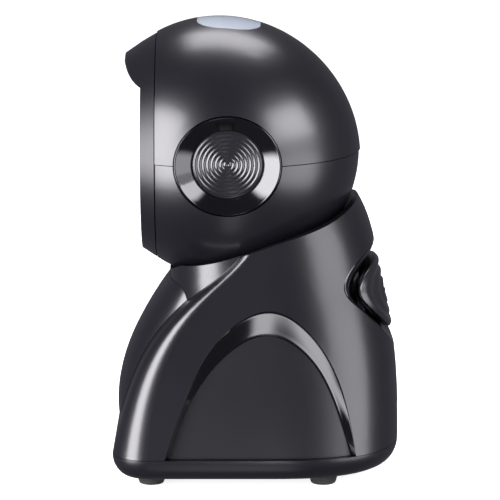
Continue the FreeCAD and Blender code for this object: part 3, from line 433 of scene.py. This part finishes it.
def side_disc(side, word):
    """Disc with eight rounded ridges, slightly oval."""
    centre, half = middle("ripple_disc_" + word)
    radius = half.y / MM
    face_x, back_x = face_and_back("ripple_disc_" + word, side)
    pitch = radius / (DISC_RIDGES + 0.35)
    ridges = []
    for i in range(DISC_RIDGES * RIDGE_STEPS + 1):
        along = i / RIDGE_STEPS
        wave = 0.5 - 0.5 * math.cos(2 * math.pi * along)
        ridges.append((along * pitch, face_x - VALLEY_DEPTH + RIDGE_HEIGHT * wave ** 0.9))
    profile = [(0.0, back_x), (radius, back_x), (radius, face_x - 0.55)] + ridges[::-1]
    bm = bmesh.new()
    turned(bm, profile, 144, Vector((side, 0, 0)), Vector((0, 1, 0)))
    bmesh.ops.scale(bm, vec=(1, 1, half.z / half.y), verts=bm.verts)
    bmesh.ops.translate(bm, vec=(0, centre.y, centre.z), verts=bm.verts)
    finish_piece("side_ripple_" + word, bm, "head", "ripple_black", ["ripple_disc_" + word], 60)


def side_ring(side, word):
    """Dished ring round the disc, with rounded lips."""
    centre, half = middle("trim_ring_" + word)
    disc_half = middle("ripple_disc_" + word)[1]
    face_x, back_x = face_and_back("trim_ring_" + word, side)
    outer = half.y / MM
    inner = disc_half.y / MM + DISC_GAP
    floor_x = face_x - RING_DEPTH
    # the hole narrows towards the back, so that it closes on the disc
    profile = [(inner - 0.3, back_x), (outer, back_x)]
    profile += arc((outer - LIP_RADIUS, face_x - LIP_RADIUS), LIP_RADIUS, 0, 118, 8)
    for i in range(15):
        share = i / 14
        profile.append((outer - 1.0 - share * (outer - inner - 1.16),
                        face_x - 0.3 - (RING_DEPTH - 0.3) * share ** 0.95))
    profile += arc((inner + 0.1, floor_x - 0.06), 0.1, 60, 180, 5)
    bm = bmesh.new()
    turned(bm, profile, 160, Vector((side, 0, 0)), Vector((0, 1, 0)))
    # the hole is as oval as the disc and the rim as oval as the CAD ring
    near, far = disc_half.z / disc_half.y, half.z / half.y
    for v in bm.verts:
        reach = math.hypot(v.co.y, v.co.z) / MM
        share = min(max((reach - inner) / (outer - inner), 0), 1)
        v.co.z *= near + (far - near) * share
    bmesh.ops.translate(bm, vec=(0, centre.y, centre.z), verts=bm.verts)
    finish_piece("side_ring_" + word, bm, "head", "trim_gloss", ["trim_ring_" + word], 35)


# ------------------------------------------------------------------ reading the base's form
def surface_tree(name):
    """Search tree over a carried node's faces."""
    mesh = frame["nodes"][name].data
    return BVHTree.FromPolygons([v.co for v in mesh.vertices],
                                [p.vertices for p in mesh.polygons])


TREES = {name: surface_tree(name) for name in (
    "base_shell", "arch_trim_left", "arch_trim_right", "arch_panel_left", "arch_panel_right",
    "dish_ring", "rear_button")}


def first_hit(names, origin, direction):
    """Nearest of several nodes along a ray: (name, point, normal) or None."""
    best = None
    for name in names:
        point, normal, _, distance = TREES[name].ray_cast(origin, direction, 0.2)
        if point is not None and (best is None or distance < best[3]):
            best = (name, point, normal, distance)
    return best


def edge_of(test, near, far):
    """Where a yes-or-no test changes between two reaches."""
    for _ in range(22):
        between = (near + far) / 2
        if test(between):
            near = between
        else:
            far = between
    return (near + far) / 2


def smoothed(values, rounds, closed=False):
    """Even out small steps in a run of numbers."""
    values = list(values)
    for _ in range(rounds):
        count = len(values)
        fresh = list(values)
        for i in range(count):
            if closed or 0 < i < count - 1:
                fresh[i] = (values[i - 1] + 2 * values[i] + values[(i + 1) % count]) / 4
        values = fresh
    return values


def skirted_patch(bm, rows, closed):
    """Join rows of points by extruding edges from row to row; gives the last row."""
    verts, edges = wire_loop(bm, rows[0], closed)
    for row in rows[1:]:
        made = bmesh.ops.extrude_edge_only(bm, edges=edges)["geom"]
        fresh = [g for g in made if isinstance(g, bmesh.types.BMVert)]
        edges = [g for g in made if isinstance(g, bmesh.types.BMEdge)
                 and g.verts[0] in fresh and g.verts[1] in fresh]
        link = {}
        for v in fresh:
            for e in v.link_edges:
                other = e.other_vert(v)
                if other in verts:
                    link[other] = v
        verts = [link[v] for v in verts]
        for v, p in zip(verts, row):
            v.co = p
    return verts


ARCH_STEPS = 120
# how far, in mm, each CAD node lies under the base's skin
TRIM_INSET = 0.9
PANEL_INSET = 2.2
# the band from its outer to its inner edge: share across it, depth under the skin in mm
ARCH_SECTION = [(1.03, 3.0), (1.03, 0.5), (1.0, 0.22), (0.97, 0.12), (0.93, 0.16), (0.86, 0.3),
                (0.7, 0.62), (0.5, 1.02), (0.3, 1.42), (0.14, 1.74), (0.05, 1.9), (0.0, 2.02),
                (-0.03, 2.3), (-0.03, 3.0)]


def arch_bands(side, word):
    """Glossy band that slopes from the base's skin down to the sunk panel."""
    shell, trim, panel = names = ["base_shell", "arch_trim_" + word, "arch_panel_" + word]
    insets = {shell: 0.0, trim: TRIM_INSET, panel: PANEL_INSET}
    centre_y = middle(panel)[0].y
    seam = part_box(trim)[0].z

    def hit(y, z):
        return first_hit(names, Vector((side * 0.12, y, z)), Vector((-side, 0, 0)))

    def skin_x(y, z):
        """How far out the base's outer skin is at that place."""
        name, point, normal, _ = hit(y, z)
        return abs(point.x) + insets[name] * MM / max(abs(normal.x), 0.5)

    ways, inners, outers = [], [], []
    for i in range(ARCH_STEPS + 1):
        angle = math.pi * (0.006 + 0.988 * i / ARCH_STEPS)
        way = (math.cos(angle), math.sin(angle))

        def name_at(reach, way=way):
            found = hit(centre_y + way[0] * reach, seam + way[1] * reach)
            return found and found[0]

        inner = edge_of(lambda reach: name_at(reach) == panel, 0.012, 0.052)
        outer = edge_of(lambda reach: name_at(reach) not in (None, shell),
                        inner + 0.0003, inner + 0.012)
        ways.append(way)
        inners.append(inner)
        outers.append(outer)
    inners, outers = smoothed(inners, 2), smoothed(outers, 2)
    rows = []
    for share, depth in ARCH_SECTION:
        xs, row = [], []
        for inner, outer, (along, up) in zip(inners, outers, ways):
            reach = inner + (outer - inner) * share
            within = inner + (outer - inner) * min(max(share, 0.04), 0.96)
            x = skin_x(centre_y + along * within, max(seam + up * within, seam + 1e-4))
            xs.append(side * (x - depth * MM))
            row.append((centre_y + along * reach, max(seam + up * reach, seam)))
        rows.append([Vector((x, y, z)) for x, (y, z) in zip(smoothed(xs, 3), row)])
    bm = bmesh.new()
    skirted_patch(bm, rows + [rows[0]], False)
    bmesh.ops.remove_doubles(bm, verts=bm.verts, dist=1e-7)
    bmesh.ops.holes_fill(bm, edges=[e for e in bm.edges if e.is_boundary], sides=0)
    finish_piece("arch_band_" + word, bm, "base", "trim_gloss", ["arch_trim_" + word], 35)


# ------------------------------------------------------------------ rear dish and button
REAR_STEPS = 144
REAR_INSET = 0.5 * MM       # the CAD dish and button lie this far under the base's skin
REAR_NEAREST = 0.010        # the back of the base lies behind this
DISH_WALL = 8.0 * MM
DISH_FRONT = 20.5 * MM      # the dish's wall goes no further forward
BUTTON_RIDGES = 3.5
BUTTON_RINGS = 56
STEM_LENGTH = 6.6 * MM
STEM_SHIFT = 0.8 * MM       # from the spring's middle, outwards
PRESS_WAY = Vector((0, math.cos(math.radians(10)), math.sin(math.radians(10))))
REAR_WAYS = [(math.cos(2 * math.pi * i / REAR_STEPS), math.sin(2 * math.pi * i / REAR_STEPS))
             for i in range(REAR_STEPS)]
# share across from the button's edge to the shell's edge, depth under the skin in mm
DISH_SECTION = [(1.03, 0.7), (1.0, 0.26), (0.96, 0.14), (0.9, 0.2), (0.8, 0.45),
                (0.6, 1.15), (0.4, 2.0), (0.22, 2.8), (0.12, 3.2), (0.09, 3.5), (0.16, 4.3)]
# the button's underside and rim: share of its outline, depth under the skin in mm
BUTTON_UNDER = [(0.08, 2.9), (0.3, 2.9), (0.5, 2.9), (0.7, 2.9), (0.86, 2.9), (0.945, 2.8),
                (0.955, 2.5), (0.968, 1.6), (0.982, 0.95)]


def rear_hit(x, z):
    """First piece met from behind."""
    return first_hit(["base_shell", "dish_ring", "rear_button"],
                     Vector((x, 0.1, z)), Vector((0, -1, 0)))


def rear_outlines():
    """Height of the dish's middle, and reach of the button's and the dish's edges round it."""
    centre_z = middle("dish_ring")[0].z
    inner, outer = [], []
    for across, up in REAR_WAYS:
        def name_at(reach, across=across, up=up):
            found = rear_hit(across * reach, centre_z + up * reach)
            return found and found[0]

        inner.append(edge_of(lambda reach: name_at(reach) == "rear_button", 0.004, 0.03))
        outer.append(edge_of(lambda reach: name_at(reach) not in (None, "base_shell"),
                             inner[-1] + 0.0006, 0.036))
    return centre_z, smoothed(inner, 2, True), smoothed(outer, 2, True)


def skin_terms(x, z):
    """Terms of the surface fitted to the base's back, even in x."""
    x, z = x / 0.02, z / 0.02
    return [1.0, x * x, x ** 4, z, z * z, z ** 3, x * x * z, x * x * z * z]


def fit_rear_skin(centre_z, outer):
    """Even surface through the skin of the base's back: y over x and height."""
    rows, depths = [], []
    for share in (0.1, 0.25, 0.4, 0.55, 0.7, 0.8, 0.9, 0.97):
        for reach, (across, up) in zip(outer, REAR_WAYS):
            x, z = across * reach * share, up * reach * share
            name, point, normal, _ = rear_hit(x, centre_z + z)
            if point.y < REAR_NEAREST or abs(normal.y) < 0.3:
                continue
            inset = 0.0 if name == "base_shell" else REAR_INSET
            rows.append(skin_terms(x, z))
            depths.append(point.y + inset / abs(normal.y))
    rows, depths = np.array(rows), np.array(depths)
    # fit again without the readings that lie off the surface, in mm
    keep = np.ones(len(depths), dtype=bool)
    for allowed in (2.0, 0.8, 0.4, 0.25):
        weights = np.linalg.lstsq(rows[keep], depths[keep], rcond=None)[0]
        keep = np.abs(rows @ weights - depths) < allowed * MM

    def depth(x, z):
        return float(np.dot(weights, skin_terms(x, z)))

    def skin(x, z, step=1e-4):
        """Point on the skin and its outward normal."""
        slope_x = (depth(x + step, z) - depth(x - step, z)) / (2 * step)
        slope_z = (depth(x, z + step) - depth(x, z - step)) / (2 * step)
        return (Vector((x, depth(x, z), centre_z + z)),
                Vector((-slope_x, 1, -slope_z)).normalized())
    return skin


def rear_row(skin, reaches, depth):
    """A closed row of points, a depth in mm under the skin."""
    row = []
    for reach, (across, up) in zip(reaches, REAR_WAYS):
        point, normal = skin(across * reach, up * reach)
        row.append(point - normal * (depth * MM))
    return row


def rear_dish(skin, inner, outer):
    """Dished band between the button and the shell."""
    rows = [rear_row(skin, [a + (b - a) * share for a, b in zip(inner, outer)], depth)
            for share, depth in DISH_SECTION]
    # the outer wall runs straight forward, which fills the shell's cut at both ends of the dish
    wall = [Vector((p.x, max(p.y - DISH_WALL, DISH_FRONT), p.z)) for p in rows[0]]
    bm = bmesh.new()
    skirted_patch(bm, [wall] + rows + [wall], True)
    finish_piece("rear_dish", bm, "base", "trim_gloss", ["dish_ring"], 35)


def rear_push_button(skin, inner):
    """Pad with rounded ridges that run from its outline into ovals, and the stem behind it."""
    mean_across = (inner[0] + inner[REAR_STEPS // 2]) / 2
    mean_up = (inner[REAR_STEPS // 4] + inner[3 * REAR_STEPS // 4]) / 2
    ovals = [1 / math.hypot(across / mean_across, up / mean_up) for across, up in REAR_WAYS]
    rows = [rear_row(skin, [a * share for a in inner], depth) for share, depth in BUTTON_UNDER]
    for k in range(BUTTON_RINGS + 1):
        share = 0.975 - 0.965 * k / BUTTON_RINGS
        wave = 0.5 + 0.5 * math.cos(2 * math.pi * share * BUTTON_RIDGES)
        reaches = [(a * share + b * (1 - share)) * share for a, b in zip(inner, ovals)]
        rows.append(rear_row(skin, reaches, 0.62 - 0.8 * wave ** 0.85))
    bm = bmesh.new()
    last = skirted_patch(bm, rows, True)
    bmesh.ops.contextual_create(bm, geom=last)
    bmesh.ops.contextual_create(bm, geom=[v for v in bm.verts if v.is_boundary])
    foot = middle("button_spring")[0] + PRESS_WAY * STEM_SHIFT
    stem = bmesh.ops.create_cone(bm, cap_ends=True, segments=40, radius1=2.3 * MM,
                                 radius2=2.5 * MM, depth=STEM_LENGTH)
    bmesh.ops.transform(bm, matrix=along_press(foot), verts=stem["verts"])
    finish_piece("rear_push_button", bm, "button", "ripple_black", ["rear_button"], 50)


def along_press(place):
    """Stands what is drawn upright at a place, along the button's travel."""
    turn = Vector((0, 0, 1)).rotation_difference(PRESS_WAY).to_matrix().to_4x4()
    return Matrix.Translation(place) @ turn


SPRING_LENGTH = 3.8         # mm, as are the wire's radius and the coil's
SPRING_WIRE = 0.3
SPRING_COIL = 3.75
SPRING_TURNS = 4


def coil_spring():
    """The button's return spring, wound from wire, with closed ends."""
    centre = middle("button_spring")[0]
    steps = 36 * SPRING_TURNS
    rise = (SPRING_LENGTH - 2 * SPRING_WIRE) * MM
    bm = bmesh.new()
    ring = bmesh.ops.create_circle(bm, cap_ends=False, segments=10, radius=SPRING_WIRE * MM)
    start = Matrix.Translation((SPRING_COIL * MM, 0, 0)) @ UPRIGHT
    bmesh.ops.transform(bm, matrix=start, verts=ring["verts"])
    bmesh.ops.spin(bm, geom=bm.verts[:] + bm.edges[:], cent=(0, 0, 0), axis=(0, 0, 1),
                   dvec=(0, 0, rise / steps), angle=2 * math.pi * SPRING_TURNS, steps=steps,
                   use_merge=False, use_duplicate=False)
    bmesh.ops.holes_fill(bm, edges=[e for e in bm.edges if e.is_boundary], sides=0)
    bmesh.ops.translate(bm, vec=(0, 0, -rise / 2), verts=bm.verts)
    bmesh.ops.transform(bm, matrix=along_press(centre), verts=bm.verts)
    spring = finish_piece("wound_spring", bm, "base", "spring_steel", ["button_spring"], 50)
    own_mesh(spring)


# ------------------------------------------------------------------ small pieces
FOOT_RADIUS = 5.2           # mm


def moulded_feet():
    """Four rubber feet with rounded rims and a shallow ring in the sole."""
    low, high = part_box("rubber_feet")
    top = high.z / MM
    profile = [(0, 0.5), (1.9, 0.5), (2.3, 0.0), (3.3, 0.0)]
    profile += arc((3.4, 0.8), 0.8, -90, -8, 6)
    profile += [(4.75, top - 0.5), (5.15, top - 0.12), (5.15, top), (0, top)]
    bm = bmesh.new()
    for x in (low.x / MM + FOOT_RADIUS, high.x / MM - FOOT_RADIUS):
        for y in (low.y / MM + FOOT_RADIUS, high.y / MM - FOOT_RADIUS):
            part = bmesh.new()
            turned(part, profile, 48, Vector((0, 0, 1)), Vector((1, 0, 0)))
            bmesh.ops.translate(part, vec=(x * MM, y * MM, 0), verts=part.verts)
            mesh = bpy.data.meshes.new("foot")
            part.to_mesh(mesh)
            part.free()
            bm.from_mesh(mesh)
            bpy.data.meshes.remove(mesh)
    finish_piece("moulded_feet", bm, "base", "rubber_black", ["rubber_feet"], 45)


CONTACTS = 10
CONTACT_PITCH = 1.02        # mm, as are the steps of each wire's path
CONTACT_PATH = [(0, -6.5, -0.3), (0, -1.6, -1.2), (0, 2.6, -2.4), (0, 1.2, -0.6)]


def socket_contacts():
    """Ten sprung wires inside the lead's socket."""
    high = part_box("cable_socket")[1]
    bm = bmesh.new()
    for i in range(CONTACTS):
        x = (i - (CONTACTS - 1) / 2) * CONTACT_PITCH * MM
        start = Vector((x, high.y - 3.0 * MM, high.z - 1.25 * MM))
        ring = bmesh.ops.create_circle(bm, cap_ends=True, segments=6, radius=0.22 * MM)
        bmesh.ops.transform(bm, matrix=Matrix.Translation(start) @ UPRIGHT, verts=ring["verts"])
        faces = list({f for v in ring["verts"] for f in v.link_faces})
        for step in CONTACT_PATH:
            made = bmesh.ops.extrude_face_region(bm, geom=faces)["geom"]
            moved = [g for g in made if isinstance(g, bmesh.types.BMVert)]
            bmesh.ops.translate(bm, vec=Vector(step) * MM, verts=moved)
            faces = [g for g in made if isinstance(g, bmesh.types.BMFace)]
    finish_piece("socket_contacts", bm, "base", "brass", (), 40)


for side, word in ((-1, "left"), (1, "right")):
    side_disc(side, word)
    side_ring(side, word)
    arch_bands(side, word)
rear_centre_z, button_edge, dish_edge = rear_outlines()
rear_skin = fit_rear_skin(rear_centre_z, dish_edge)
rear_dish(rear_skin, button_edge, dish_edge)
rear_push_button(rear_skin, button_edge)
coil_spring()
moulded_feet()
socket_contacts()


# ------------------------------------------------------------------ floor, light and camera
def floor_material():
    """Plain pale floor that runs into the white backdrop, and throws little light up."""
    material, tree, shader = new_material("pale_floor", {
        "Roughness": 0.9, "Specular IOR Level": 0.0, "Emission Color": (1, 1, 1, 1)})
    seen = node(tree, "LightPath").outputs["Is Camera Ray"]
    tree.links.new(mix_colour(tree, seen, (0.10, 0.10, 0.105, 1), (0.9, 0.9, 0.9, 1)),
                   shader.inputs["Base Color"])
    away = node(tree, "VectorMath", {0: node(tree, "TexCoord").outputs["Object"]},
                operation="LENGTH").outputs["Value"]
    glow = ramp(tree, away, 0.25, 2.5, 0.85, 1.2)
    tree.links.new(math_node(tree, "MULTIPLY", seen, glow), shader.inputs["Emission Strength"])
    return material


def stage_piece(name, bm, material):
    """A piece of the stage, which is no part of the object."""
    mesh = bpy.data.meshes.new(name)
    bm.to_mesh(mesh)
    bm.free()
    mesh.materials.append(material)
    piece = bpy.data.objects.new(name, mesh)
    piece.visible_shadow = False
    bpy.context.scene.collection.objects.link(piece)
    return piece


def lay_floor():
    """Wide floor, left out of reflections so that the low panels show in them."""
    bm = bmesh.new()
    bmesh.ops.create_circle(bm, cap_ends=True, segments=64, radius=9.0)
    stage_piece("floor", bm, floor_material()).visible_glossy = False


PANEL_TINT = (0.965, 0.95, 1.0, 1)
AIM = (0.0, -0.01, 0.09)
# name, place, what it faces, width and height in metres, strength, share of each half that fades
PANELS = [
    ("overhead", (-0.30, 0.03, 0.78), AIM, (0.68, 0.46), 6.6, (0.2, 0.25)),
    ("left_bank", (0.50, -0.69, 0.19), (0, 0, 0.19), (0.66, 1.10), 14.0, (0.2, 0.2)),
    ("right_bank", (0.40, 0.75, 0.50), (0, 0, 0.50), (0.90, 0.74), 9.6, (0.25, 0.3)),
    ("low_glow", (0.17, 0.0, -0.14), (0.04, 0, 0.047), (0.09, 0.16), 0.8, (0.25, 0.3)),
    ("arch_glow", (0.16, 0.012, -0.018), (0.036, 0.012, 0.056), (0.036, 0.030), 7.5, (0.3, 0.2)),
    ("right_low_bank", (0.40, 0.75, -0.04), (0, 0, -0.04), (0.90, 0.74), 4.6, (0.25, 0.3)),
]


def soft_box(name, place, aim, size, strength, feather):
    """A light panel that fades towards its edges, as a diffuser does."""
    material = bpy.data.materials.new(name)
    material.use_nodes = True
    tree = material.node_tree
    tree.nodes.remove(tree.nodes["Principled BSDF"])
    spot = node(tree, "SeparateXYZ", {0: node(tree, "TexCoord").outputs["Object"]}).outputs
    fades = [node(tree, "MapRange", {"Value": math_node(tree, "ABSOLUTE", spot[k]),
                                     "From Min": 0.5, "From Max": 0.5 - feather[k]},
                  interpolation_type="SMOOTHSTEP").outputs["Result"] for k in (0, 1)]
    fade = math_node(tree, "MULTIPLY", fades[0], fades[1])
    glow = node(tree, "Emission", {"Color": PANEL_TINT,
                                   "Strength": math_node(tree, "MULTIPLY", fade, strength)})
    tree.links.new(glow.outputs[0], tree.nodes["Material Output"].inputs["Surface"])
    bm = bmesh.new()
    bmesh.ops.create_grid(bm, x_segments=1, y_segments=1, size=0.5)
    panel = stage_piece(name, bm, material)
    panel.location = place
    panel.scale = (*size, 1)
    panel.rotation_euler = (Vector(aim) - Vector(place)).to_track_quat("-Z", "Y").to_euler()
    panel.visible_camera = False


def backdrop():
    """White to the eye, dim as a light."""
    world = bpy.data.worlds.new("studio")
    world.use_nodes = True
    tree = world.node_tree
    seen = node(tree, "LightPath").outputs["Is Camera Ray"]
    shade = mix_colour(tree, seen, (0.105, 0.105, 0.12, 1), (1, 1, 1, 1))
    tree.links.new(shade, tree.nodes["Background"].inputs["Color"])
    bpy.context.scene.world = world


def set_camera():
    """Level side view from the right, a little above."""
    aim = Vector((0.0, -0.0021, 0.0728))
    rise, distance = math.radians(10.5), 1.1
    sensor, field = 36.0, 0.16667       # mm; metres seen at the aim
    data = bpy.data.cameras.new("camera")
    data.sensor_width = sensor
    data.lens = sensor * distance / field
    camera = bpy.data.objects.new("camera", data)
    camera.location = aim + Vector((math.cos(rise), 0, math.sin(rise))) * distance
    camera.rotation_euler = (aim - camera.location).to_track_quat("-Z", "Y").to_euler()
    bpy.context.scene.collection.objects.link(camera)
    bpy.context.scene.camera = camera


lay_floor()
backdrop()
for panel in PANELS:
    soft_box(*panel)
set_camera()
bpy.context.scene.view_settings.view_transform = "Standard"
